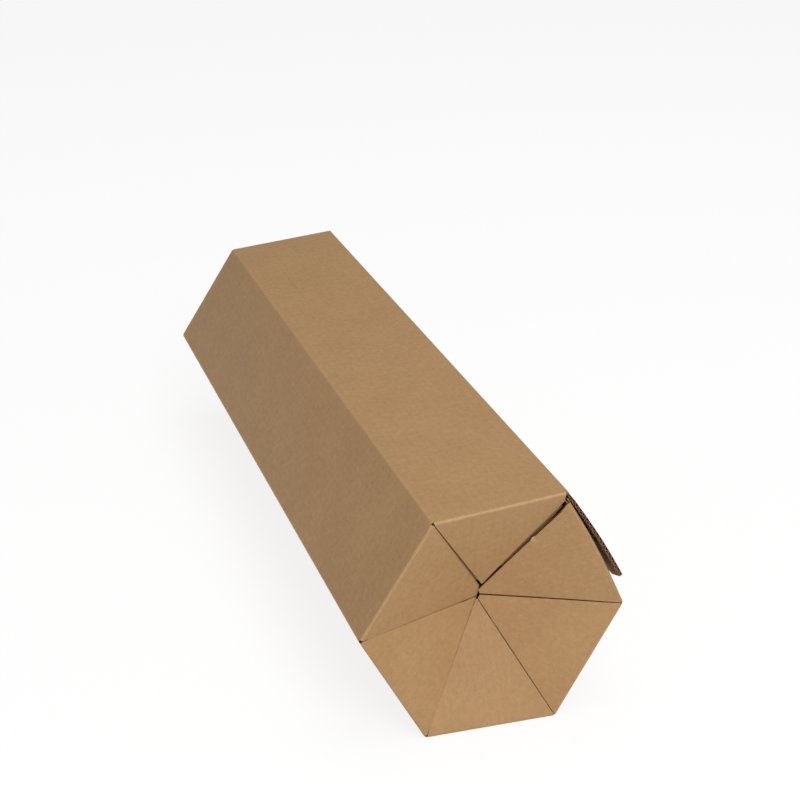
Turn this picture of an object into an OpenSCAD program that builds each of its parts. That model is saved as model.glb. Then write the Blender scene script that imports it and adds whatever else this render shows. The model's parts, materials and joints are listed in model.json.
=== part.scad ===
// Long six-sided shipping box, folded from one sheet of corrugated board.
// It lies on its base panel. The origin is at the middle of the base's outer
// face, X runs across the box, Y along it and Z up, and the near end is at -Y.
// The six long panels wrap round from the free edge (upper right, under the
// closing flap) by way of the base to the top panel, which carries the flap.

/* [Box] */
// Overall length of the box
length = 430; // [330:10:860]
// Width of each long panel, from crease to crease
panel_w = 66; // [50:1:90]
// Thickness of the corrugated board
board_t = 1.6; // [1.4:0.1:2]

/* [Long folds] */
// Angle by which the lower left fold is turned past a regular hexagon's
lower_left_angle = 1; // [-3:0.5:5]
// Angle by which the left fold is turned past a regular hexagon's
left_angle = 2; // [-3:0.5:5]
// Angle by which the lower right fold is turned past a regular hexagon's
lower_right_angle = -1; // [-4:0.5:3]
// Distance from the flap's crease down to the free edge of the last panel
free_edge_drop = 3; // [2.6:0.2:6]

/* [End flaps] */
// Depth of the point where the six end flaps meet, below the rim
recess = 28; // [16:1:34]
// Outer radius of the fold round the rim
rim_r = 1.2; // [0.8:0.1:1.4]
// Depth to which the creasing rule presses the rim's fold into the board
rim_press = 0.05; // [0.02:0.01:0.2]
// Gap between the cut edges of two neighbouring end flaps
seam_gap = 0.4; // [0.3:0.05:0.8]
// Relief at each corner of the rim, measured along the rim's fold
corner_notch = 1.8; // [1.5:0.1:3]
// Blunt end taken off each tip
tip_cut = 1.2; // [0.6:0.1:3]
// Greatest width of the margin that each end flap tucks under the next one
tuck_w = 5; // [3:0.5:8]
// Width of the crushed strip along the edge that lies on top
crush_w = 2.4; // [2.2:0.1:4]
// Distance from the rim to the die-cut nub on the last panel's end flap
nub_place = 24; // [15:1:40]
// Width and height of the nub
nub_w = 1.4; // [0.8:0.1:2]

/* [Closing flap] */
// Width of the closing flap, from its crease to its long cut edge
flap_w = 66; // [50:1:67]
// Width that is cut off the flap at each end
corner_cut = 11; // [4:1:20]
// Length along the box over which that corner is cut off
corner_run = 21; // [12:1:60]
// Angle at which the unsealed flap stands open
flap_open = 3.5; // [0:0.5:12]
// Room between the last panel and the flap when it is pressed shut
flap_seat = 0.5; // [0.3:0.1:1]
// Clearance at the flap's crease
crease_gap = 0.2; // [0.1:0.05:0.4]
// Spacing of the flutes inside the board
flute_pitch = 3.3; // [3:0.1:3.6]
// Thickness of each paper liner
liner_t = 0.2; // [0.15:0.01:0.25]
// Thickness of the wavy paper between the liners
medium_t = 0.18; // [0.12:0.01:0.22]
// Half width of the glue line where a flute meets its liner
glue_half = 0.25; // [0.2:0.01:0.35]

/* [Hidden] */
kraft = "#b58c62";
kraft_flap = "#ad845b";
overlap = 0.3;
// Share by which a cutting shape runs past the corner that it cuts off
overrun = 0.3;
bend_steps = 8;
flute_steps = 12;
// Turn of the sheet at each fold of a regular six-sided box
regular_turn = 360 / 6;
// Share of a cut edge where its tucked margin is shoulder wide, and the width
// there as a share of the greatest width, which it has from the second place
shoulder_place = 0.3;
shoulder_share = 0.6;
widest_place = 0.7;
// Distance from the tip, in blunt ends, at which the tucked margin stops
tuck_clear = 4;
nose_r = board_t / 2;
lay = nose_r + flap_seat;
rim_depth = rim_r + rim_press;

// Point at a distance and heading from another one, in the cross-section
function step(p, reach, heading) = p + reach * [cos(heading), sin(heading)];
// Heading from one point of the cross-section to another
function heading(p, q) = atan2(q[1] - p[1], q[0] - p[0]);
// Upper meeting point of two arcs, as seen walking from p to q
function meet(p, rp, q, rq) =
    let (d = norm(q - p), along = (rp * rp - rq * rq + d * d) / (2 * d))
    step(step(p, along, heading(p, q)), sqrt(rp * rp - along * along), heading(p, q) + 90);

// Corners of the cross-section, on the outer faces
lower_left_heading = 180 - regular_turn - lower_left_angle;
upper_left_heading = lower_left_heading - regular_turn - left_angle;
lower_right_heading = regular_turn + lower_right_angle;
lower_left = [-panel_w / 2, 0];
lower_right = [panel_w / 2, 0];
left = step(lower_left, panel_w, lower_left_heading);
upper_left = step(left, panel_w, upper_left_heading);
right = step(lower_right, panel_w, lower_right_heading);

// Axis of the flap's crease, in the middle of the board
crease_reach = panel_w + free_edge_drop;
crease = meet(upper_left, norm([panel_w, nose_r]), right, crease_reach);
top_heading = heading(upper_left, crease) + atan(nose_r / panel_w);
upper_right = step(upper_left, panel_w, top_heading);
last_heading = heading(crease, right) + asin(lay / crease_reach);
free_edge = step(right, -panel_w, last_heading);
flap_heading = last_heading + flap_open;

// Outer faces of the panels, clockwise from the top as seen at the near end
PANELS = [
    [upper_left, upper_right],
    [free_edge, right],
    [right, lower_right],
    [lower_right, lower_left],
    [lower_left, left],
    [left, upper_left]
];
// Panels that start at a fold, in the order in which the sheet wraps round
FOLDS = [2, 3, 4, 5, 0];
LAST = 1;

// The point where the end flaps meet, as a place in the cross-section
hub = (upper_left + upper_right + right + lower_right + lower_left + left) / 6;

function panel_heading(i) = heading(PANELS[i][0], PANELS[i][1]);
// The hub in a panel's own frame: along the panel, and inwards from it
function hub_along(i) =
    let (a = panel_heading(i), d = hub - PANELS[i][0])
    d[0] * cos(a) + d[1] * sin(a);
function hub_in(i) =
    let (a = panel_heading(i), d = hub - PANELS[i][0])
    d[0] * sin(a) - d[1] * cos(a);

// Tilt of an end flap's outer face, tangent to the rim and through the point
function flap_tilt(i) =
    let (y = recess - rim_r, z = rim_depth - hub_in(i))
    atan2(z, y) + asin(rim_r / norm([y, z]));
// Length of the end flap from the rim's tangent line to the point
function flap_run(i) =
    let (y = recess - rim_r, z = rim_depth - hub_in(i))
    sqrt(y * y + z * z - rim_r * rim_r);
// Distance from the rim's tangent line back to the sharp corner of the fold
function rim_back(i) = rim_r / tan(-flap_tilt(i) / 2);

// Cut edge of an end flap at a distance from the rim: side 0 is the edge
// that lies on top of its neighbour, side 1 is tucked under the next flap
function cut_edge(i, side, v) =
    let (back = rim_back(i), share = (v + back) / (flap_run(i) + back),
         root = side == 0 ? seam_gap / 2 : panel_w - seam_gap / 2,
         point = hub_along(i) + (side == 0 ? seam_gap / 2 : -seam_gap / 2))
    [root + (point - root) * share, v];
// Distance from the rim at which a cut edge leaves the corner's relief
function notch_end(i, side) =
    let (root = cut_edge(i, side, 0)[0], slope = cut_edge(i, side, 1)[0] - root,
         wall = side == 0 ? corner_notch : panel_w - corner_notch)
    (wall - root) / slope;
// Direction across a cut edge, out of the flap
function edge_out(i, side) =
    let (d = cut_edge(i, side, 1) - cut_edge(i, side, 0), n = [d[1], -d[0]] / norm(d))
    side == 0 ? -n : n;

// Children drawn along X with Z outwards, laid on a line of the cross-section
module on_line(p, angle) {
    translate([p[0], 0, p[1]]) rotate([0, -angle, 0]) children();
}

// A flat shape in the cross-section, made as long as asked
module run_length(reach) {
    translate([0, reach / 2, 0]) rotate([90, 0, 0]) linear_extrude(reach) children();
}

// Turn of the sheet at the start of a panel
function turn_before(i) = (panel_heading((i + 5) % 6) - panel_heading(i) + 360) % 360;
// Inner corner of the fold at the start of a panel: the centre of its bend
function bend_centre(i) =
    let (a = panel_heading(i), trim = board_t * tan(turn_before(i) / 2))
    step(step(PANELS[i][0], trim, a), board_t, a - 90);
// Points round a bend, clockwise from one heading to the other
function bend(centre, r, from, to) =
    [for (k = [0:bend_steps]) step(centre, r, from + (to - from) * k / bend_steps)];

// Wall of the box, open at the free edge under the closing flap. The outer
// face runs clockwise from the free edge, and the inner face runs back.
module wall_section() {
    outer = [
        for (i = FOLDS)
            let (a = panel_heading(i) + 90)
            each bend(bend_centre(i), board_t, a + turn_before(i), a)
    ];
    nose = bend(crease, nose_r, top_heading + 90, top_heading - 90);
    inner = [for (k = [len(FOLDS) - 1:-1:0]) bend_centre(FOLDS[k])];
    free_inner = step(free_edge, board_t, last_heading - 90);
    polygon(concat([free_edge], outer, nose, inner, [free_inner]));
}

// Margin that an end flap tucks under the next one, half a board thick
module tucked_margin(i) {
    tip = flap_run(i) - tuck_clear * tip_cut;
    out = edge_out(i, 1);
    translate([0, 0, board_t / 2 + seam_gap / 4]) linear_extrude(board_t / 2 - seam_gap / 4)
        polygon([
            cut_edge(i, 1, rim_r) - out * crush_w,
            cut_edge(i, 1, tip * shoulder_place) + out * tuck_w * shoulder_share,
            cut_edge(i, 1, tip * widest_place) + out * tuck_w,
            cut_edge(i, 1, tip) - out * crush_w
        ]);
}

// Room under the edge that lies on top, where the board is crushed
module crushed_strip(i) {
    out = edge_out(i, 0);
    translate([0, 0, board_t / 2 - seam_gap / 4]) linear_extrude(board_t)
        polygon([
            cut_edge(i, 0, rim_r * 2) - out * crush_w,
            cut_edge(i, 0, rim_r * 2) + out,
            cut_edge(i, 0, flap_run(i)) + out,
            cut_edge(i, 0, flap_run(i)) - out * crush_w
        ]);
}

// Rounded fold between a panel and its end flap
module rim_fold(i) {
    start = corner_notch - overlap;
    centre = [rim_r, -rim_depth];
    translate([start, 0, 0]) rotate([90, 0, 90]) linear_extrude(panel_w - 2 * start)
        polygon(concat(
            bend(centre, rim_r, 90, 270 + flap_tilt(i)),
            [step(centre, rim_r, flap_tilt(i) / 2)]
        ));
}

// One end flap with its fold, in its panel's frame at the near end
module end_flap(i) {
    tip = flap_run(i) - tip_cut;
    rim_fold(i);
    translate([0, rim_r, -rim_depth]) rotate([flap_tilt(i), 0, 0]) translate([0, 0, -rim_r]) {
        difference() {
            linear_extrude(board_t)
                polygon([
                    [corner_notch, 0],
                    [panel_w - corner_notch, 0],
                    cut_edge(i, 1, notch_end(i, 1)),
                    cut_edge(i, 1, tip),
                    cut_edge(i, 0, tip),
                    cut_edge(i, 0, notch_end(i, 0))
                ]);
            crushed_strip(i);
        }
        tucked_margin(i);
        if (i == LAST) nub(i);
    }
}

// Nub that the cutting die leaves on the free cut edge
module nub(i) {
    out = edge_out(i, 0);
    lean = atan2(out[1], out[0]);
    place = cut_edge(i, 0, nub_place);
    translate([place[0], place[1], 0]) rotate(lean) translate([-overlap, -nub_w / 2, 0])
        cube([nub_w / 2 + overlap, nub_w, board_t / 2 - seam_gap / 4]);
}

module end_flaps() {
    for (i = [0:5]) on_line(PANELS[i][0], panel_heading(i)) end_flap(i);
}

module hex_body() {
    color(kraft) {
        run_length(length - 2 * rim_r) wall_section();
        for (far = [0, 1]) mirror([0, far, 0]) translate([0, -length / 2, 0]) end_flaps();
    }
}

// Height of the wavy paper's middle line inside the board
wave_h = (board_t - 2 * liner_t - medium_t) / 2;
function wave(x) = wave_h * cos(360 * x / flute_pitch);

// One hollow between the wavy paper and a liner, from crest to crest
module flute() {
    run = flute_pitch - 2 * glue_half;
    floor_line = [
        for (k = [0:flute_steps])
            let (x = glue_half + run * k / flute_steps)
            [x, wave(x) + medium_t / 2]
    ];
    roof = board_t / 2 - liner_t;
    polygon(concat(floor_line, [[flute_pitch - glue_half, roof], [glue_half, roof]]));
}

// Cross-section of the closing flap: two liners with the flutes between
module fluted_section() {
    start = nose_r + crease_gap;
    margin = liner_t;
    flutes = floor((flap_w - start - 2 * margin) / flute_pitch - 0.5);
    first = start + (flap_w - start - (flutes + 0.5) * flute_pitch) / 2;
    difference() {
        translate([start, -board_t / 2]) square([flap_w - start, board_t]);
        for (k = [0:flutes - 1]) {
            translate([first + k * flute_pitch, 0]) flute();
            translate([first + (k + 0.5) * flute_pitch, 0]) mirror([0, 1]) flute();
        }
    }
}

// Corner cut off the near end of the flap, seen from its outer side
module flap_corner() {
    translate([flap_w, -length / 2, -board_t]) linear_extrude(2 * board_t)
        polygon([
            [-corner_cut * (1 + overrun), -corner_run * overrun],
            [corner_cut * overrun, corner_run * (1 + overrun)],
            [corner_cut * overrun, -corner_run * overrun]
        ]);
}

module closing_flap() {
    color(kraft_flap) on_line(crease, flap_heading)
        difference() {
            run_length(length) fluted_section();
            for (far = [0, 1]) mirror([0, far, 0]) flap_corner();
        }
}

hex_body();
closing_flap();
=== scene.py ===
# %% [markdown]
# A long six-sided shipping box, folded from one sheet of brown corrugated
# board. The real one is cut flat, creased, and folded by hand, so this lesson
# starts from the same flat sheet: lay it out, shape its end flaps, fold them
# over, wrap the six long panels round, and only then give the sheet its
# thickness. Modelling six panels as separate slabs would be quicker, but the
# folds would then be seams, and a folded sheet has none.
#
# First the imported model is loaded. It is the fixed frame: everything below
# takes its place from it.

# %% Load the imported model
import json
import math
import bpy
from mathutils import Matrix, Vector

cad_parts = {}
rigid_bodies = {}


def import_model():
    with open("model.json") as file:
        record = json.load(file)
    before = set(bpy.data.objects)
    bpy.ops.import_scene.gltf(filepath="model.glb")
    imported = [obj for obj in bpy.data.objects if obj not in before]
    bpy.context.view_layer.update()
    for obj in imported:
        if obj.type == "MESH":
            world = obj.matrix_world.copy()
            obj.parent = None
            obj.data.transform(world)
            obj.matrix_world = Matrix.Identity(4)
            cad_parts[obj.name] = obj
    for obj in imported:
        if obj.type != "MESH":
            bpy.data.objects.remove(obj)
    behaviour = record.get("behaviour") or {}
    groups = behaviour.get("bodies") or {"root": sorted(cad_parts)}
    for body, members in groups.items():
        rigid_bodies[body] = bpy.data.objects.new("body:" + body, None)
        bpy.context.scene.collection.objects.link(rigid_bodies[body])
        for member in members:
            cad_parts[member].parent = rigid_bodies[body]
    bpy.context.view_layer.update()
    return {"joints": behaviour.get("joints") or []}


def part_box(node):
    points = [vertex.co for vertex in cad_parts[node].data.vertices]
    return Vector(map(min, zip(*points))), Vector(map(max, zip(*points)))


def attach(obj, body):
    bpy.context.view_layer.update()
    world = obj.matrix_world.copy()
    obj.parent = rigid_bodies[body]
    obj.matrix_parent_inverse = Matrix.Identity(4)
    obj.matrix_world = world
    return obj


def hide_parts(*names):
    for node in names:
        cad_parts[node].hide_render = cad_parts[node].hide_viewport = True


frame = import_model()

from types import SimpleNamespace

import bmesh
import bpy
from mathutils import Matrix, Vector

# %% [markdown]
# The sizes that drive the box. The length and the crease come from the packed
# model, and the rest are the sheet's own sizes in metres. A long fold has an
# outer radius a little over the board's thickness, because the inner liner is
# pinched almost to nothing. The rims at the ends cross the flutes, which are
# crushed there, so they are sharper. Naming every size once, here or where it
# is first needed, lets one number be changed without hunting for its copies.

# %% Sizes of the sheet
mm = 0.001
hair = 0.01 * mm
panel_width = 66 * mm
board = 1.6 * mm
flute_pitch = 3.3 * mm
fold_radius = 1.8 * mm
rim_radius = 1.1 * mm
recess = 28 * mm
flap_seat = 0.5 * mm
flap_open = math.radians(3.5)
regular_turn = math.radians(60)
half_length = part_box("hex_body")[1].y
crease = Vector(frame["joints"][0]["pos_m"])
print("half length", round(half_length / mm, 2), "mm; crease at",
      [round(c / mm, 3) for c in crease], "mm")

# %% [markdown]
# The cross-section is a hexagon that has given a little: its folds aren't all
# at 120 degrees. Six corners could be typed in as numbers, but then the panels
# would hardly come out equally wide. So the corners are stepped off one by one
# from the panel width and the turns at three folds, and the last panel is
# aimed so that its free edge ends just under the closing flap.

# %% Corners of the cross-section
lower_left_give = math.radians(1)
left_give = math.radians(2)
lower_right_give = math.radians(1)


def step(point, reach, angle):
    return point + reach * Vector((math.cos(angle), 0, math.sin(angle)))


def heading(start, end):
    return math.atan2(end.z - start.z, end.x - start.x)


lower_left = Vector((-panel_width / 2, 0, 0))
lower_right = Vector((panel_width / 2, 0, 0))
left = step(lower_left, panel_width, math.pi - regular_turn - lower_left_give)
upper_left = step(left, panel_width, math.pi - 2 * regular_turn - lower_left_give - left_give)
right = step(lower_right, panel_width, regular_turn - lower_right_give)
top_heading = heading(upper_left, crease) + math.atan(board / 2 / panel_width)
upper_right = step(upper_left, panel_width, top_heading)
last_reach = (right - crease).length
last_heading = heading(crease, right) + math.asin((board / 2 + flap_seat) / last_reach)
free_edge = step(right, -panel_width, last_heading)
hub = (lower_left + lower_right + left + upper_left + right + upper_right) / 6
hub.y = recess
print("hub at", [round(c / mm, 2) for c in hub], "mm")

# %% [markdown]
# The six panels, in the order in which they lie on the flat sheet from its
# free edge to the crease of the closing flap. For each one, the place of the
# hub, where the end flaps meet, is worked out in the panel's own terms: how
# far along the panel, and how far in from its face. From these follow the
# turn of its end flap's fold and the length of the flap.
#
# Each end flap is a triangle with its point cut off. On a real box the six
# points never meet in one spot: they lock past each other, and two small
# holes stay open between them. So each flap says where the two corners of its
# point lie, as a distance along the panel from the hub and a distance short
# of it. They are read off the photograph, because the holes catch the eye.

# %% The six panels
def describe_panel(name, start, end, tip):
    along = (end - start).normalized()
    inward = Vector((along.z, 0, -along.x))
    arm = hub - start
    hub_in = arm.dot(inward)
    rise = math.atan2(recess - rim_radius, hub_in - rim_radius)
    reach = math.hypot(recess - rim_radius, hub_in - rim_radius)
    turn = math.pi / 2 + rise + math.asin(rim_radius / reach)
    back = rim_radius * math.tan(turn / 2)
    return SimpleNamespace(
        name=name, heading=heading(start, end), tip=tip,
        hub_along=arm.dot(along), flap_turn=turn, back=back,
        flap_run=math.sqrt(reach ** 2 - rim_radius ** 2) + back,
    )


panels = [
    describe_panel("last", free_edge, right, ((-1.8 * mm, 2.1 * mm), (0.4 * mm, 1.8 * mm))),
    describe_panel("lower_right", right, lower_right, ((-0.6 * mm, 1.8 * mm), (1.4 * mm, 1.9 * mm))),
    describe_panel("base", lower_right, lower_left, ((-0.4 * mm, 2.3 * mm), (0.3 * mm, 2.4 * mm))),
    describe_panel("lower_left", lower_left, left, ((-2.1 * mm, 1.7 * mm), (-1.2 * mm, 0.9 * mm))),
    describe_panel("upper_left", left, upper_left, ((-1.5 * mm, -1.9 * mm), (4.9 * mm, 1.4 * mm))),
    describe_panel("top", upper_left, upper_right, ((2.3 * mm, 7.4 * mm), (3.0 * mm, 7.4 * mm))),
]
LAST, LOWER_RIGHT, BASE, LOWER_LEFT, UPPER_LEFT, TOP = range(6)
for p in panels:
    print(f"{p.name}: flap turns {math.degrees(p.flap_turn):.1f} degrees, runs {p.flap_run / mm:.1f} mm")

# %% [markdown]
# A bend made of small equal steps lies on a circle when each strip between
# two steps is a chord of it. The strips take up a length of sheet, so the flat
# parts of the panels are shorter than the panels, as on a real blank, where
# the crease lines eat a few millimetres. A bevel on a sharp fold would be less
# work, but it would stretch the paper's pattern at every fold.

# %% Laying the panels side by side
bend_steps = 6
rim_steps = 8
free_notch = 0.8 * mm


def fold_setback(turn):
    return fold_radius * math.tan(turn / 2)


def chord(turn, steps, radius=fold_radius):
    return 2 * radius * math.sin(turn / steps / 2)


def turn_between(first, second):
    return (first.heading - second.heading) % (2 * math.pi)


turns = [turn_between(panels[k], panels[k + 1]) for k in range(LAST, TOP)]
panels[BASE].root = panel_width / 2
for k in (BASE, LOWER_RIGHT, LAST):
    p = panels[k]
    p.low = p.root - panel_width + fold_setback(turns[k])
    if k != LAST:
        p.high = p.root - fold_setback(turns[k - 1])
        gap = bend_steps * chord(turns[k - 1], bend_steps)
        panels[k - 1].root = p.high + gap - fold_setback(turns[k - 1]) + panel_width
panels[LAST].high = panels[LAST].root
for k in (LOWER_LEFT, UPPER_LEFT, TOP):
    p, before = panels[k], panels[k - 1]
    p.high = before.low - bend_steps * chord(turns[k - 1], bend_steps)
    p.root = p.high + fold_setback(turns[k - 1])
    p.low = p.root - panel_width + (fold_setback(turns[k]) if k != TOP else 0)
for k, p in enumerate(panels):
    p.rim_low = p.low + (free_notch if k == TOP else 0)
    print(f"{p.name}: flat from x {p.low / mm:.1f} to {p.high / mm:.1f} mm")

# %% [markdown]
# The two cut edges of an end flap run straight from the corners of its panel
# to the corners of its point, less half a seam. The seams aren't equally
# tight on a real box, so each has its own width, and two are pressed shut. The
# last panel's flap is notched at its free edge, and it has a small torn nick
# where it hung on to the rest of the blank. The flap above it is cut wider
# towards its root, because the free edge lies lower than the corner, and a
# dark wedge stays open between them. Cutting the flaps out with a boolean
# would leave slivers along the seams, so one function says where each edge
# lies, and the rows of each flap are laid out to it.

# %% Cut edges of the end flaps
seam = {LAST: 0.45 * mm, LOWER_RIGHT: 0.4 * mm, BASE: -0.2 * mm, LOWER_LEFT: 0.05 * mm,
        UPPER_LEFT: 0.5 * mm, TOP: 0.5 * mm}
seam_drop = 3.3 * mm
free_inset = 1.8 * mm
nick_place = 25 * mm
nick_size = 0.6 * mm
print("seams in mm:", {panels[k].name: round(width / mm, 2) for k, width in seam.items()})


def cut_edge(k, side, v):
    """Distance along the panel of a cut edge of end flap k, at v from the panel's corner."""
    p = panels[k]
    tip_along, tip_short = p.tip[side]
    share = v / (p.flap_run - tip_short)
    corner = panel_width - seam[k] / 2 if side else seam[(k - 1) % 6] / 2
    if k == LAST and side == 0:
        corner = free_inset
    if k == TOP and side == 1:
        corner = panel_width + seam_drop
    place = corner + (p.hub_along + tip_along - corner) * share
    if k == LAST and side == 0 and abs(v - nick_place) < nick_size:
        place -= nick_size
    if side:
        return min(place, p.root - p.rim_low)
    return max(place, p.root - p.high)


# %% [markdown]
# The flat sheet. It starts as a row of edges across the sheet, one for each
# flat strip and one for each fold, which are subdivided and then extruded
# along the box. A grid cut up by hand would do too, but extruding gives each
# strip exactly the rows it needs. A narrow strip, the lip, runs along every
# edge, so that the shading of a bend doesn't spread into the flat part. Only
# half of the length is made, because the far end mirrors the near end.

# %% The flat sheet, near half
columns = 10
lip = 0.8 * mm
wall_end = half_length - rim_radius
wall_rows = 12


def edges_at(bm, y, low, high):
    """Edges of the row at y that lie between two places across the sheet."""
    return [
        e for e in bm.edges
        if all(abs(v.co.y - y) < hair and low - hair < v.co.x < high + hair for v in e.verts)
    ]


def extrude_row(bm, edges, move):
    made = bmesh.ops.extrude_edge_only(bm, edges=edges)["geom"]
    verts = [g for g in made if isinstance(g, bmesh.types.BMVert)]
    bmesh.ops.translate(bm, verts=verts, vec=move)
    return verts, [g for g in made if isinstance(g, bmesh.types.BMEdge)]


def strip_edge(bm, start, end, cuts):
    a = bm.verts.new((start, 0, 0))
    b = bm.verts.new((end, 0, 0))
    edge = bm.edges.new((a, b))
    bmesh.ops.subdivide_edges(bm, edges=[edge], cuts=cuts)


sheet = bmesh.new()
for k, p in enumerate(panels):
    strip_edge(sheet, p.high, p.high - lip, 0)
    strip_edge(sheet, p.high - lip, p.rim_low + lip, columns - 1)
    strip_edge(sheet, p.rim_low + lip, p.rim_low, 0)
    if k == TOP:
        strip_edge(sheet, p.rim_low, p.low, 0)
    if k < TOP:
        strip_edge(sheet, p.low, panels[k + 1].high, bend_steps - 1)
bmesh.ops.remove_doubles(sheet, verts=sheet.verts[:], dist=hair)
row = sheet.edges[:]
for number in range(wall_rows):
    verts, row = extrude_row(sheet, row, (0, -wall_end / wall_rows, 0))
print("half wall:", len(sheet.faces), "faces")

# %% [markdown]
# On the real box each end flap lies over one neighbour and under the other, so
# every seam is a groove with board behind it. Here the edge of a flap that
# goes under the next one gets a margin: it dips by less than a board's
# thickness just past the seam and runs on underneath. A dark line painted on
# the surface would look right from one side only. The margin starts a little
# way down from the rim and stops short of the point, so that it stays hidden.

# %% Margins that tuck under the next flap
dip = 1.25 * mm
shoulder = 0.3 * mm
margin_least = 0.8 * mm
margin_more = 4.2 * mm
margin_fullness = 0.7
margin_start = {k: 0.15 if k == TOP else 0.08 for k in range(6)}
margin_end = {k: 0.97 if k == UPPER_LEFT else 0.9 for k in range(6)}


def margin_width(share):
    swell = math.sin(math.pi * min(max(share, 0), 1)) ** margin_fullness
    return margin_least + margin_more * swell


print("margin in mm from the rim to the point:", [round(margin_width(s / 4) / mm, 1) for s in range(5)])

# %% [markdown]
# Now the end flaps. The last row of each panel is extruded in narrow strips,
# which will bend into the rounded rim, and then in wider rows that run from
# one cut edge to the other and get shorter towards the point. Equal steps are
# enough for a flat triangle. The nick needs a few rows of its own, close
# together, and the upper left flap needs one near its point, where its margin
# ends late.

# %% End flaps on the flat sheet
flap_rows = 12
nick_rows = (-1.6, -0.9, 0.9, 1.6)
late_row = 0.96


def row_shares(k):
    """Rows of an end flap as shares of its length, with a few more at the nick."""
    shares = [r / flap_rows for r in range(1, flap_rows + 1)]
    if k == LAST:
        run = panels[k].flap_run - panels[k].back
        middle = nick_place - panels[k].back
        for reach in nick_rows:
            shares.append((middle + reach * nick_size) / run)
    if k == UPPER_LEFT:
        shares.append(late_row)
    return sorted(shares)


def place_row(k, verts, share):
    """Puts one row of an end flap between its two cut edges, with a narrow strip along each."""
    p = panels[k]
    depths = [(p.flap_run - short - p.back) * share for _, short in p.tip]
    edges = [cut_edge(k, side, depths[side] + p.back) for side in (0, 1)]
    width = edges[1] - edges[0]
    narrow = min(lip, width / 8) / width
    ordered = sorted(verts, key=lambda v: -v.co.x)
    last = len(ordered) - 1
    for i, vert in enumerate(ordered):
        inner = narrow + (1 - 2 * narrow) * (i - 1) / (last - 2)
        across = {0: 0, last: 1}.get(i, inner)
        vert.co.x = p.root - edges[0] - width * across
        vert.co.y = -p.rim_end - depths[0] - (depths[1] - depths[0]) * across
    return ordered[-1]


def add_end_flap(bm, k):
    p = panels[k]
    strip = chord(p.flap_turn, rim_steps, rim_radius)
    row = edges_at(bm, -wall_end, p.rim_low, p.high)
    p.rim_end = wall_end + rim_steps * strip
    for number in range(rim_steps):
        verts, row = extrude_row(bm, row, (0, -strip, 0))
        if k == LAST and number == 0:
            for vert in verts:
                vert.co.x -= free_inset * (vert.co.x - p.low) / (p.high - p.low)
    side = []
    for share in row_shares(k):
        verts, row = extrude_row(bm, row, (0, 0, 0))
        side.append((share, place_row(k, verts, share)))
    kept = [vert for share, vert in side if margin_start[k] < share < margin_end[k]]
    edges = [e for e in bm.edges if e.verts[0] in kept and e.verts[1] in kept]
    verts, edges = extrude_row(bm, edges, (-shoulder, 0, dip))
    verts, edges = extrude_row(bm, edges, (0, 0, 0))
    for vert in verts:
        room = vert.co.x - p.low - shoulder
        vert.co.x -= min(margin_width((-vert.co.y - p.rim_end) / p.flap_run), room)


for k in range(6):
    add_end_flap(sheet, k)
near_half = sheet.verts[:] + sheet.edges[:] + sheet.faces[:]
bmesh.ops.mirror(sheet, geom=near_half, axis="Y", merge_dist=hair)
bmesh.ops.recalc_face_normals(sheet, faces=sheet.faces[:])
print("flat sheet:", len(sheet.faces), "faces")

# %% [markdown]
# The flat sheet is also its own pattern layout, so its UV map is simply the
# place of each point on the flat sheet, in metres. Unwrapping the folded box
# afterwards would have to find this layout again. Paper grain and flute lines
# will then run across the folds without a break. The flat places are also kept
# in a dictionary, because the folding needs to know where each point was.

# %% UV map of the flat sheet
def map_flat(bm):
    uv = bm.loops.layers.uv.new("sheet")
    for face in bm.faces:
        for loop in face.loops:
            loop[uv].uv = (loop.vert.co.x, loop.vert.co.y)


map_flat(sheet)
wear_and_highlight = sheet.verts.layers.float.new("wear_and_highlight")
flat = {v: v.co.copy() for v in sheet.verts}
across_places = [place.x for place in flat.values()]
print("flat sheet:", round((max(across_places) - min(across_places)) / mm, 1), "mm across")

# %% [markdown]
# Board is never dead flat: the panels crown out a little and the end flaps sink
# in. The base stays flat, because the box lies on it, and the last panel gets
# a bulge of its own later. The folds also rub pale where they stand out. The
# rims at the ends are painted paler still where they face up to the light,
# most on the top panel: a painted highlight on top of their wear. Sculpting
# would be an arbitrary way to do this, while a sine across each panel leaves
# its edges where the folds need them. The wear and the painted highlight are
# stored as an attribute on the points, for the material to read.

# %% Crown of the panels, wear of the folds and painted highlight on the rims
wall_crown = 0.35 * mm
crown_flatness = 6
flap_sink = 0.5 * mm
fold_wear = 0.25
# How pale each panel's rim is painted: partly wear, partly a painted highlight, strongest on the rims
# that face up to the light.
rim_wear_and_highlight = {LAST: 0.05, LOWER_RIGHT: 0.1, BASE: 0.15, LOWER_LEFT: 0.1, UPPER_LEFT: 0.3, TOP: 0.5}


def panel_of(x):
    for k, p in enumerate(panels):
        if p.low - hair <= x <= p.high + hair:
            return k
    return None


def on_nick(x, y):
    """True on the torn nick, at the very edge of the last panel's end flap."""
    v = y - panels[LAST].rim_end + panels[LAST].back
    edge = panels[LAST].root - cut_edge(LAST, 0, v)
    return abs(v - nick_place) < nick_size and abs(edge - x) < lip


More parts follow.
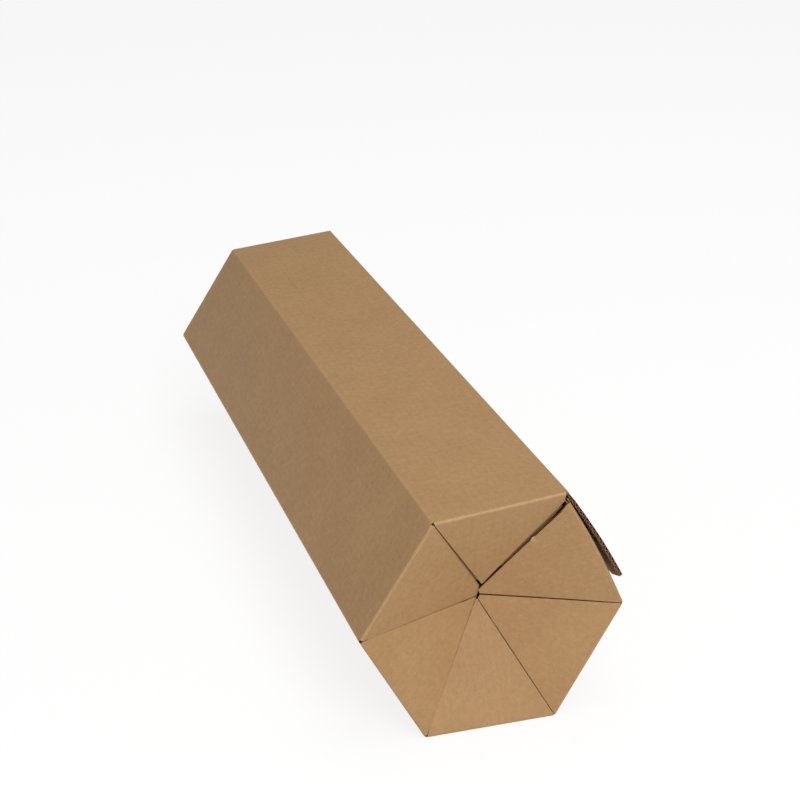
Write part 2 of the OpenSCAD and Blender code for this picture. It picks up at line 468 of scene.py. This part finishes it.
for vert in sheet.verts:
    x, y = flat[vert].x, abs(flat[vert].y)
    k = panel_of(x)
    if k is None:
        vert[wear_and_highlight] = fold_wear
        continue
    p = panels[k]
    across = (p.high - x) / (p.high - p.low)
    crown = math.sin(math.pi * across)
    if y < wall_end - hair:
        if k not in (BASE, LAST):
            vert.co.z -= wall_crown * crown * (1 - (y / wall_end) ** crown_flatness)
    elif wall_end + hair < y < p.rim_end - hair:
        bent = (y - wall_end) / (p.rim_end - wall_end)
        # The rim is painted paler: wear, and a painted highlight where it faces the light.
        vert[wear_and_highlight] = rim_wear_and_highlight[k] * math.sin(math.pi * bent) ** 2
    elif y > p.rim_end:
        share = (y - p.rim_end) / p.flap_run
        vert.co.z += flap_sink * math.sin(math.pi * share) * crown
        vert[wear_and_highlight] = 1.0 if k == LAST and on_nick(x, y) else 0.0
# Counts the points painted paler, by wear or by the painted highlight on the rims.
print("points rubbed pale:", sum(v[wear_and_highlight] > 0 for v in sheet.verts), "of", len(sheet.verts))

# %% [markdown]
# Folding. Every fold turns the part of the sheet beyond it in small steps,
# starting with the step furthest out, so the lines of the nearer steps still
# lie where they were on the flat sheet. The first and last step turn half as
# much as the others, which makes the round part meet the flat parts smoothly.
# A bone for each fold would do the same with an armature, but a fold that
# never opens needs no rig: turning the points once is enough.

# %% Folding tools
sliver = 0.01
print("a long fold has strips of", round(chord(regular_turn, bend_steps) / mm, 2), "mm")


def bend(bm, verts, place, strip, steps, turn, axis):
    """Folds verts about lines along an axis: place(k) is a point on line k."""
    for k in range(steps, -1, -1):
        beyond = [v for v in verts if strip(v) > k + sliver]
        share = 0.5 if k in (0, steps) else 1.0
        matrix = Matrix.Rotation(turn * share / steps, 3, axis)
        bmesh.ops.rotate(bm, verts=beyond, cent=place(k), matrix=matrix)


def fold_end_flap(bm, k, end):
    size = chord(panels[k].flap_turn, rim_steps, rim_radius)
    verts = [
        v for v in bm.verts
        if flat[v].y * end > wall_end + hair and panel_of(flat[v].x) == k
    ]
    bend(bm, verts, lambda row: (0, end * (wall_end + row * size), 0),
         lambda v: (abs(flat[v].y) - wall_end) / size, rim_steps, end * panels[k].flap_turn, "X")


def fold_wall(bm, start, size, turn, side):
    verts = [v for v in bm.verts if flat[v].x * side > start * side]
    bend(bm, verts, lambda row: (start + side * row * size, 0, 0),
         lambda v: (flat[v].x - start) * side / size, bend_steps, -side * turn, "Y")


# %% [markdown]
# The end flaps are folded first, while the sheet lies flat and every fold runs
# straight along an axis. By hand it goes the other way round, because the
# flaps lock into each other, but points on a computer pass through each other
# freely, so the easy order is taken. Then the panels follow, from the
# outermost fold towards the base, which stays where it is.

# %% Folding the sheet
for end in (-1, 1):
    for k in range(6):
        fold_end_flap(sheet, k, end)
for k in (LAST, LOWER_RIGHT):
    fold_wall(sheet, panels[k + 1].high, chord(turns[k], bend_steps), turns[k], 1)
for k in (UPPER_LEFT, LOWER_LEFT, BASE):
    fold_wall(sheet, panels[k].low, chord(turns[k], bend_steps), turns[k], -1)
corner = min(sheet.verts, key=lambda v: (v.co - Vector((upper_right.x, 0, upper_right.z))).length)
print("top panel ends", round((Vector((corner.co.x, 0, corner.co.z)) - upper_right).length / mm, 3),
      "mm from the crease's upper side")

# %% [markdown]
# The last panel is held by its fold and its two end flaps only, so it springs
# out a little in between, rim and all. The push is along the panel's own
# outward direction and dies away towards the hub, so the end flap's point
# stays where it is locked. A soft simulation could find this bulge too, but it
# would have to be tuned until it matched the photograph, and the bulge is only
# a millimetre and a half. It leaves just enough room for the closing flap to
# lie flat over it.

# %% The last panel springs out
spring_edge = 0.5 * mm
spring_middle = 1.35 * mm
spring_depth = 30 * mm
last_panel = panels[LAST]
last_out = Vector((-math.sin(last_panel.heading), 0, math.cos(last_panel.heading)))


def spring_out(across):
    """How far the panel stands out, from 0 at its free edge to 1 at its fold."""
    across = min(max(across, 0), 1)
    return spring_edge * (1 - across) ** 2 + spring_middle * math.sin(math.pi * across)


for vert in sheet.verts:
    if panel_of(flat[vert].x) != LAST:
        continue
    across = (last_panel.high - flat[vert].x) / (last_panel.high - last_panel.low)
    deep = (free_edge - vert.co).dot(last_out)
    fade = max(0, 1 - max(deep, 0) / spring_depth)
    vert.co += last_out * spring_out(across) * fade
print("last panel springs out", round(spring_out(0.5) / mm, 2), "mm in its middle")

# %% [markdown]
# The sheet becomes board. Solidify gives it its thickness towards the inside,
# and puts the inner face and the cut edges in material slots of their own. It
# adds the inner face's points after the outer ones, so an attribute can
# record which is which: 0 at the outer liner and 1 at the inner one. The
# material of the cut edges draws the flutes from it. The other way would be to
# model both liners, which the eye could only tell at the closing flap, where
# it is done. Smooth shading then needs two helps: edges sharper than a set
# angle stay sharp, and weighted normals let the wide flat faces decide the
# shading, so that flat panels look flat.

# %% From sheet to board
sharp_from = math.radians(32)
print("board of", board / mm, "mm, sharp from", round(math.degrees(sharp_from)), "degrees")


def object_from(bm, name):
    mesh = bpy.data.meshes.new(name)
    bm.to_mesh(mesh)
    bm.free()
    piece = bpy.data.objects.new(name, mesh)
    bpy.context.scene.collection.objects.link(piece)
    return piece


def apply_modifiers(piece):
    graph = bpy.context.evaluated_depsgraph_get()
    mesh = bpy.data.meshes.new_from_object(piece.evaluated_get(graph))
    piece.modifiers.clear()
    piece.data = mesh


def thicken(piece, thickness):
    outer_points = len(piece.data.vertices)
    solid = piece.modifiers.new("board", "SOLIDIFY")
    solid.thickness = thickness
    solid.offset = -1
    solid.use_even_offset = True
    solid.material_offset = 1
    solid.material_offset_rim = 2
    apply_modifiers(piece)
    depth = piece.data.attributes.new("depth", "FLOAT", "POINT")
    inner_points = len(piece.data.vertices) - outer_points
    depth.data.foreach_set("value", [0.0] * outer_points + [1.0] * inner_points)


def soften(piece):
    """Smooth shading that keeps flat faces flat and cut edges sharp."""
    piece.data.polygons.foreach_set("use_smooth", [True] * len(piece.data.polygons))
    piece.data.set_sharp_from_angle(angle=sharp_from)
    weighted = piece.modifiers.new("weighted normals", "WEIGHTED_NORMAL")
    weighted.keep_sharp = True
    apply_modifiers(piece)


# %% [markdown]
# Solidify grows against the normals, so they have to point out of the box. The
# lowest face is part of the base, and its normal has to point down. If it
# points up, the whole sheet is turned inside out.

# %% Which side is out
lowest = min(sheet.faces, key=lambda f: f.calc_center_median().z)
if lowest.normal.z > 0:
    bmesh.ops.reverse_faces(sheet, faces=sheet.faces[:])
print("normal of the lowest face:", [round(c, 2) for c in lowest.normal])

# %% [markdown]
# Kraft paper. Unbleached liner is a warm brown that is never even: it has
# soft clouds from the pulp, short fibres that lie mostly along the web, a few
# dark and pale specks, and a faint washboard where the flutes show through.
# An image texture would give this too, but it would stretch at the folds and
# fix the scale. Procedural noise on the flat sheet's own map stays sharp and
# runs across every fold, as the real paper does. The colours are given as they
# look on screen, where they are easy to judge, and are made linear first.

# %% Colours
def rgb(r, g, b):
    """A colour given as it looks on screen, in 0 to 255, made linear for the shader."""
    def linear(c):
        c = c / 255
        return c / 12.92 if c <= 0.04045 else ((c + 0.055) / 1.055) ** 2.4
    return (linear(r), linear(g), linear(b), 1)


print("a kraft brown made linear:", [round(c, 3) for c in rgb(195, 154, 106)])

# %% [markdown]
# A material is a graph of nodes. Written out one node at a time it is long and
# hard to follow, so four short helpers make the nodes used most: a new
# material, a sum, a range spread out, and a mix of two colours. Each takes
# numbers or the outputs of other nodes.

# %% Nodes for materials
def new_material(name):
    material = bpy.data.materials.new(name)
    material.use_nodes = True
    return material, material.node_tree.nodes, material.node_tree.links


def maths(material, operation, *values):
    tree = material.node_tree
    node = tree.nodes.new("ShaderNodeMath")
    node.operation = operation
    for socket, value in zip(node.inputs, values):
        if isinstance(value, (int, float)):
            socket.default_value = value
        else:
            tree.links.new(value, socket)
    return node.outputs[0]


def ramp(material, value, low, high, start=0.0, end=1.0):
    """Turns the range low to high of a value into start to end, and holds it there."""
    tree = material.node_tree
    node = tree.nodes.new("ShaderNodeMapRange")
    tree.links.new(value, node.inputs["Value"])
    for name, number in (("From Min", low), ("From Max", high), ("To Min", start), ("To Max", end)):
        node.inputs[name].default_value = number
    return node.outputs["Result"]


def tint(material, amount, first, second):
    """Mixes two colours by an amount; each is a colour or the output of a node."""
    tree = material.node_tree
    node = tree.nodes.new("ShaderNodeMix")
    node.data_type = "RGBA"
    tree.links.new(amount, node.inputs["Factor"])
    for socket, colour in ((node.inputs[6], first), (node.inputs[7], second)):
        if isinstance(colour, tuple):
            socket.default_value = colour
        else:
            tree.links.new(colour, socket)
    return node.outputs[2]


print("helpers for nodes:", [helper.__name__ for helper in (new_material, maths, ramp, tint)])

# %% [markdown]
# A noise texture's scale counts spots per unit, and the map is in metres, so
# the scale is one over the size of a spot. Noise stretched in one direction
# gives fibres. The place could come from the object's own coordinates, but
# then the pattern would cut straight through the folds.

# %% Places and noise on the sheet
def sheet_place(material, stretch=(1, 1), turn=0):
    """A place on the flat sheet in metres, turned and stretched across and along."""
    tree = material.node_tree
    place = tree.nodes.new("ShaderNodeUVMap")
    place.uv_map = "sheet"
    mapping = tree.nodes.new("ShaderNodeMapping")
    mapping.inputs["Rotation"].default_value = (0, 0, turn)
    mapping.inputs["Scale"].default_value = (1 / stretch[0], 1 / stretch[1], 1)
    tree.links.new(place.outputs["UV"], mapping.inputs["Vector"])
    return mapping.outputs["Vector"]


def spots(material, size, detail, stretch=(1, 1), turn=0):
    """Noise whose spots have a size in metres."""
    tree = material.node_tree
    noise = tree.nodes.new("ShaderNodeTexNoise")
    noise.inputs["Scale"].default_value = 1 / size
    noise.inputs["Detail"].default_value = detail
    tree.links.new(sheet_place(material, stretch, turn), noise.inputs["Vector"])
    return noise.outputs["Fac"]


def attribute(material, name):
    node = material.node_tree.nodes.new("ShaderNodeAttribute")
    node.attribute_name = name
    return node.outputs["Fac"]


print("spots of a millimetre need a scale of", round(1 / mm))

# %% [markdown]
# The liner's colour is built in layers, from the largest marks to the
# smallest: clouds of a few centimetres, smaller mottling, fibres, specks, the
# washboard, and last the folds, where the surface is rubbed and cracked a
# little paler, and the rims that face the light get a painted highlight. Each
# layer has the size of its spots in metres, the detail of its noise, the band
# of noise values that counts, and its share of the darker or paler tone. A
# narrow band high up leaves only a few specks, and a wide one gives soft
# clouds. So the paper can be made coarser or calmer one layer at a time.

# %% Layers of the liner
def layer(size, detail, band, share=1, stretch=(1, 1), turn=0):
    return SimpleNamespace(size=size, detail=detail, band=band, share=share,
                           stretch=stretch, turn=turn)


def marks(material, kind, start=0.0, end=1.0):
    """The marks of one layer, from start where there are none to end where they are full."""
    noise = spots(material, kind.size, kind.detail, kind.stretch, kind.turn)
    return ramp(material, noise, *kind.band, start, end)


clouds = layer(30 * mm, detail=3, band=(0.35, 0.65), share=0.10)
mottling = layer(3.5 * mm, detail=4, band=(0.3, 0.7), share=0.16)
fibres_along = layer(0.55 * mm, detail=2, band=(0.42, 0.72), share=0.16, stretch=(1, 4))
fibres_slanted = layer(0.5 * mm, detail=2, band=(0.5, 0.75), share=0.14, stretch=(1, 4),
                       turn=math.radians(35))
dark_specks = layer(0.8 * mm, detail=1, band=(0.70, 0.78), share=0.30)
pale_specks = layer(1.1 * mm, detail=1, band=(0.70, 0.76), share=0.35, stretch=(1, 2), turn=1)
# Breaks up the pale of the worn folds and of the painted highlight on the rims.
rubbing_and_highlight = layer(2.5 * mm, detail=3, band=(0.25, 0.7))
print("layers from", clouds.size / mm, "down to", fibres_slanted.size / mm, "mm")

# %% [markdown]
# The washboard. The glued tips of the flutes show through the liner as faint
# lines, all of them parallel, so a sine with the flutes' pitch is enough.

# %% Wave of the flutes
def flute_wave(material):
    """A wave across the flat sheet with the pitch of the flutes, from -1 to 1."""
    tree = material.node_tree
    split = tree.nodes.new("ShaderNodeSeparateXYZ")
    tree.links.new(sheet_place(material), split.inputs["Vector"])
    radians_across = 2 * math.pi / flute_pitch
    return maths(material, "SINE", maths(material, "MULTIPLY", split.outputs["X"], radians_across))


print("flutes across a panel:", round(panel_width / flute_pitch))

# %% [markdown]
# The graph of the liner. The layers are added up into one value that mixes the
# middle tone with the dark one, and the pale marks come on top. The fibres and
# the washboard also lift the surface by a few hundredths of a millimetre. The
# inner liner is the same paper, a little darker and without the smooth sheen
# of the outer one.

# %% Kraft liner
washboard_share = 0.02
washboard_lift = 0.35
roughness_range = (0.46, 0.58)
rub_and_highlight_range = (0.35, 0.85)
bump_strength = 0.35
bump_height = 0.06 * mm


def add_up(material, parts):
    """Adds values up, each multiplied by its share."""
    value, share = parts[0]
    total = maths(material, "MULTIPLY", value, share)
    for value, share in parts[1:]:
        total = maths(material, "MULTIPLY_ADD", value, share, total)
    return total


def kraft_liner(name, tone, dark_tone, pale_tone, sheen):
    material, nodes, links = new_material(name)
    shader = nodes["Principled BSDF"]
    mottle = marks(material, mottling)
    along = marks(material, fibres_along)
    slanted = marks(material, fibres_slanted)
    wave = flute_wave(material)
    shade = add_up(material, [
        (marks(material, clouds), clouds.share), (mottle, mottling.share),
        (along, fibres_along.share), (slanted, fibres_slanted.share),
        (wave, washboard_share), (marks(material, dark_specks), dark_specks.share),
    ])
    colour = tint(material, shade, tone, dark_tone)
    specked = maths(material, "MULTIPLY", marks(material, pale_specks), pale_specks.share)
    colour = tint(material, specked, colour, pale_tone)
    # The pale tone on the folds is wear; on the rims it is also a painted highlight where they face the
    # light.
    rubbed_and_highlit = marks(material, rubbing_and_highlight, *rub_and_highlight_range)
    rubbed_and_highlit = maths(material, "MULTIPLY", rubbed_and_highlit, attribute(material, "wear_and_highlight"))
    colour = tint(material, rubbed_and_highlit, colour, pale_tone)
    links.new(colour, shader.inputs["Base Color"])
    links.new(ramp(material, mottle, 0, 1, *roughness_range), shader.inputs["Roughness"])
    shader.inputs["Specular IOR Level"].default_value = sheen
    fibres = maths(material, "ADD", along, slanted)
    height = maths(material, "MULTIPLY_ADD", wave, washboard_lift, fibres)
    bump = nodes.new("ShaderNodeBump")
    bump.inputs["Strength"].default_value = bump_strength
    bump.inputs["Distance"].default_value = bump_height
    links.new(height, bump.inputs["Height"])
    links.new(bump.outputs["Normal"], shader.inputs["Normal"])
    return material


liner_outer = kraft_liner("kraft_liner_outer", tone=rgb(195, 154, 106), dark_tone=rgb(149, 107, 63),
                          pale_tone=rgb(219, 184, 138), sheen=0.4)
liner_inner = kraft_liner("kraft_liner_inner", tone=rgb(183, 143, 97), dark_tone=rgb(135, 95, 56),
                          pale_tone=rgb(207, 172, 128), sheen=0.05)
print("liner nodes:", len(liner_outer.node_tree.nodes))

# %% [markdown]
# The cut edge of corrugated board shows two liners with a wavy sheet between
# them and hollows on both sides of it, dark with shade. On the body the board
# is solid in the mesh, so the material draws that section, with the hollows
# painted dark as painted shade: the depth attribute tells how far a point is
# from the outer liner, and the wave gives the middle sheet. The widths below
# are shares of the board's thickness.

# %% Cut edge
wave_reach = 0.34
medium_half = (0.06, 0.10)
liner_from_centre = (0.36, 0.39)
fraying = layer(0.4 * mm, detail=3, band=(0.3, 0.7))
fray_range = (0.75, 1)
cut_roughness = 0.9
cut_sheen = 0.1


def cut_edge_paper(name, paper, hollow_shade):
    material, nodes, links = new_material(name)
    shader = nodes["Principled BSDF"]
    depth = attribute(material, "depth")
    middle = maths(material, "MULTIPLY_ADD", flute_wave(material), wave_reach, 0.5)
    from_middle = maths(material, "ABSOLUTE", maths(material, "SUBTRACT", depth, middle))
    from_centre = maths(material, "ABSOLUTE", maths(material, "SUBTRACT", depth, 0.5))
    wavy = ramp(material, from_middle, *medium_half, 1, 0)
    liners = ramp(material, from_centre, *liner_from_centre)
    solid = maths(material, "MAXIMUM", wavy, liners)
    frayed = maths(material, "MULTIPLY", solid, marks(material, fraying, *fray_range))
    # Between the liners and the middle sheet the hollows are painted dark: painted shade.
    links.new(tint(material, frayed, hollow_shade, paper), shader.inputs["Base Color"])
    shader.inputs["Roughness"].default_value = cut_roughness
    shader.inputs["Specular IOR Level"].default_value = cut_sheen
    return material


# The hollow colour is painted shade, the dark inside the flutes.
cut_board = cut_edge_paper("cut_board", paper=rgb(206, 172, 132), hollow_shade=rgb(58, 40, 26))
finishes = (liner_outer, liner_inner, cut_board)
print("finishes by slot:", [material.name for material in finishes])

# %% [markdown]
# The body: the folded sheet, thickened, and the thin round of paper along the
# crease that carries the closing flap. On the real box the crease is a line of
# bent paper that belongs to both parts. Here the flap has to turn, so the
# crease is a rod with the radius of half the board, and it looks whole however
# far the flap is open. Blending the two meshes over the joint would be another
# way, but it would smear the flutes at the flap's root.

# %% The body
crease_sides = 24


def round_crease(bm):
    turned = Matrix.Translation(crease) @ Matrix.Rotation(math.pi / 2, 4, "X")
    length = 2 * half_length - 2 * free_notch
    made = bmesh.ops.create_cone(bm, cap_ends=True, segments=crease_sides, radius1=board / 2,
                                 radius2=board / 2, depth=length, matrix=turned)
    faces = {f for v in made["verts"] for f in v.link_faces}
    uv = bm.loops.layers.uv["sheet"]
    for face in faces:
        for loop in face.loops:
            loop[uv].uv = (panels[TOP].low - (loop.vert.co.x - crease.x), loop.vert.co.y)


body = object_from(sheet, "hex_body_sheet")
for material in finishes:
    body.data.materials.append(material)
thicken(body, board)
whole = bmesh.new()
whole.from_mesh(body.data)
round_crease(whole)
whole.to_mesh(body.data)
whole.free()
soften(body)
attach(body, "body")
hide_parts("hex_body")
print("body:", len(body.data.polygons), "faces")

# %% [markdown]
# The closing flap is the one place where the section of the board shows: its
# cut end faces the camera, and each flute is a small dark hole. So the flap
# is built as real corrugated board, from an outer liner, a wavy middle sheet
# and an inner liner. Each is a flat grid, cut off at its two outer corners
# with bisect_plane, waved if it is the middle one, and thickened. A drawn
# section, as on the body's cut edges with their painted shade in the hollows,
# would be lighter, but these flutes are seen from close by and have to be dark
# inside. The thin plates' own cut edges wear the drawn section and its painted
# shade too, which at their size looks like frayed paper.

# %% Plates of the closing flap
liner = 0.2 * mm
medium = 0.18 * mm
flap_width = 66 * mm
corner_cut = 11 * mm
corner_run = 21 * mm
flap_bow = 1.2 * mm
flap_curl = 0.3 * mm
crush = 0.4
crush_run = 5 * mm
rows_along = 12
liner_columns = 24
wave_columns = 240
wave_height = (board - 2 * liner - medium) / 2
print("flute height", round(2 * wave_height / mm, 2), "mm")


def cut_corner(bm, end):
    place = Vector((flap_width, end * (half_length - corner_run), 0))
    outwards = Vector((corner_run, end * corner_cut, 0))
    geom = bm.verts[:] + bm.edges[:] + bm.faces[:]
    bmesh.ops.bisect_plane(bm, geom=geom, dist=hair / 10, plane_co=place, plane_no=outwards,
                           clear_outer=True)


def plate(across, wave):
    bm = bmesh.new()
    bmesh.ops.create_grid(bm, x_segments=across, y_segments=rows_along, size=0.5)
    bmesh.ops.scale(bm, verts=bm.verts[:], vec=(flap_width, 2 * half_length, 1))
    bmesh.ops.translate(bm, verts=bm.verts[:], vec=(flap_width / 2, 0, 0))
    for end in (-1, 1):
        cut_corner(bm, end)
    uv = bm.loops.layers.uv.new("sheet")
    for face in bm.faces:
        for loop in face.loops:
            loop[uv].uv = (panels[TOP].low - loop.vert.co.x, loop.vert.co.y)
    for vert in bm.verts:
        vert.co.z += wave * math.cos(2 * math.pi * vert.co.x / flute_pitch)
    return bm


def bend_flap(mesh):
    """Crushes the board at its crease, and bows the flap out with its edge curled in."""
    for vert in mesh.verts:
        share = vert.co.x / flap_width
        vert.co.z *= 1 - crush * max(0, 1 - vert.co.x / crush_run)
        vert.co.z += flap_bow * math.sin(math.pi * share) - flap_curl * share ** 3


# %% [markdown]
# The three plates are joined and bent together: the board is crushed thinner
# at the crease, and the flap bows out a little. Then it is turned to its
# resting angle about the crease and rides on the flap's body. It is laid flat
# first and turned last, because cutting, waving and bending are simple only
# while the flap lies in a plane.

# %% The closing flap
def add_plate(whole, top, thickness, across, wave, slot):
    part = object_from(plate(across, wave), "plate")
    for material in finishes:
        part.data.materials.append(material)
    part.data.transform(Matrix.Translation((0, 0, top)))
    part.data.polygons.foreach_set("material_index", [slot] * len(part.data.polygons))
    thicken(part, thickness)
    whole.from_mesh(part.data)
    bpy.data.objects.remove(part)


flap_mesh = bmesh.new()
add_plate(flap_mesh, board / 2, liner, liner_columns, wave=0, slot=0)
add_plate(flap_mesh, medium / 2, medium, wave_columns, wave_height, slot=1)
add_plate(flap_mesh, liner - board / 2, liner, liner_columns, wave=0, slot=0)
bend_flap(flap_mesh)
hang = Matrix.Translation(crease) @ Matrix.Rotation(-(last_heading + flap_open), 4, "Y")
bmesh.ops.transform(flap_mesh, matrix=hang, verts=flap_mesh.verts[:])
flap = object_from(flap_mesh, "closing_flap_sheet")
for material in finishes:
    flap.data.materials.append(material)
soften(flap)
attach(flap, "flap")
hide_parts("closing_flap")
print("closing flap:", len(flap.data.polygons), "faces")

# %% [markdown]
# The camera. It stands about a metre away, to the left of the near end and
# above it, with a long lens, as for a product shot. It was fitted: the corners
# of the near end and the visible ones of the far end were marked in the
# photograph, and the place, direction, roll and lens were solved until the
# same corners of the box fell on them. Set by eye, a shorter box with another
# lens would have looked nearly as good.

# %% Camera
camera_place = Vector((-266.65, -962.64, 495.8)) * mm
camera_forward = Vector((0.26423, 0.88667, -0.37947))
camera_roll = math.radians(-0.65)
lens = 86.15
sensor = 36
camera = bpy.data.objects.new("camera", bpy.data.cameras.new("camera"))
camera.data.lens = lens
camera.data.sensor_width = sensor
turn = camera_forward.to_track_quat("-Z", "Y").to_matrix().to_4x4()
camera.matrix_world = Matrix.Translation(camera_place) @ turn @ Matrix.Rotation(camera_roll, 4, "Z")
bpy.context.scene.collection.objects.link(camera)
bpy.context.scene.camera = camera
bpy.context.scene.view_settings.view_transform = "Standard"
print("camera", round((camera_place - hub).length, 2), "m from the hub, lens", lens, "mm")

# %% [markdown]
# The floor of a product shot is white and almost without shadow, because the
# picture has been cut out or the table is lit from below. A plain white floor
# would turn grey under these lamps. So the floor looks different to the
# camera and to the light: the camera sees a glowing white with a weak matt
# part, which keeps only a faint shadow, while the light that reaches the box
# bounces off an ordinary pale matt surface.

# %% Floor
floor_size = 6
seen_tone = 0.2
seen_glow = 0.84
bounce_tone = 0.85


def matt(material, tone):
    shader = material.node_tree.nodes.new("ShaderNodeBsdfDiffuse")
    shader.inputs["Color"].default_value = (tone, tone, tone, 1)
    return shader.outputs[0]


def pale_floor():
    material, nodes, links = new_material("pale_floor")
    nodes.remove(nodes["Principled BSDF"])
    glow = nodes.new("ShaderNodeEmission")
    glow.inputs["Strength"].default_value = seen_glow
    seen = nodes.new("ShaderNodeAddShader")
    links.new(matt(material, seen_tone), seen.inputs[0])
    links.new(glow.outputs[0], seen.inputs[1])
    path = nodes.new("ShaderNodeLightPath")
    direct = maths(material, "MAXIMUM", path.outputs["Is Camera Ray"], path.outputs["Is Glossy Ray"])
    direct = maths(material, "MAXIMUM", direct, path.outputs["Is Transmission Ray"])
    mix = nodes.new("ShaderNodeMixShader")
    links.new(direct, mix.inputs["Fac"])
    links.new(matt(material, bounce_tone), mix.inputs[1])
    links.new(seen.outputs[0], mix.inputs[2])
    links.new(mix.outputs[0], nodes["Material Output"].inputs["Surface"])
    return material


floor_bm = bmesh.new()
bmesh.ops.create_grid(floor_bm, x_segments=1, y_segments=1, size=floor_size)
floor = object_from(floor_bm, "floor")
floor.data.materials.append(pale_floor())
print("floor tones:", seen_tone, "seen and", bounce_tone, "bounced")

# %% [markdown]
# The sky. A white room gives soft light from everywhere, which fills the
# shadows in the recess. The camera sees it as pure white, and the box gets
# less than a third of that, so the lamps can still model the panels.

# %% Sky
sky_strength = 0.3
world = bpy.data.worlds.new("studio")
bpy.context.scene.world = world
world.use_nodes = True
nodes, links = world.node_tree.nodes, world.node_tree.links
sky = nodes["Background"]
sky.inputs["Color"].default_value = (1, 1, 1, 1)
sky.inputs["Strength"].default_value = sky_strength
white = nodes.new("ShaderNodeBackground")
white.inputs["Strength"].default_value = 1.0
path = nodes.new("ShaderNodeLightPath")
mix = nodes.new("ShaderNodeMixShader")
links.new(path.outputs["Is Camera Ray"], mix.inputs["Fac"])
links.new(sky.outputs[0], mix.inputs[1])
links.new(white.outputs[0], mix.inputs[2])
links.new(mix.outputs[0], nodes["World Output"].inputs["Surface"])
print("sky:", sky_strength, "for the box")

# %% [markdown]
# The lamps. In the photograph the top panel and the near end are bright and
# the left panel is darker, with no hard shadow. So one large softbox hangs
# over the box and another stands in front of the near end, a little higher.
# Small lamps would draw hard shadows in the seams, and so would a sun.

# %% Lamps
def softbox(name, place, target, size, power):
    lamp = bpy.data.lights.new(name, "AREA")
    lamp.size = size
    lamp.energy = power
    box = bpy.data.objects.new(name, lamp)
    box.matrix_world = Matrix.Translation(place) @ (
        (target - place).to_track_quat("-Z", "Y").to_matrix().to_4x4())
    bpy.context.scene.collection.objects.link(box)


middle = Vector((0, 0, 0.06))
softbox("softbox_key", Vector((0.3, -0.2, 1.9)), middle, size=1.5, power=11.5)
softbox("softbox_front", Vector((0.0, -1.7, 1.35)), middle, size=1.1, power=18)
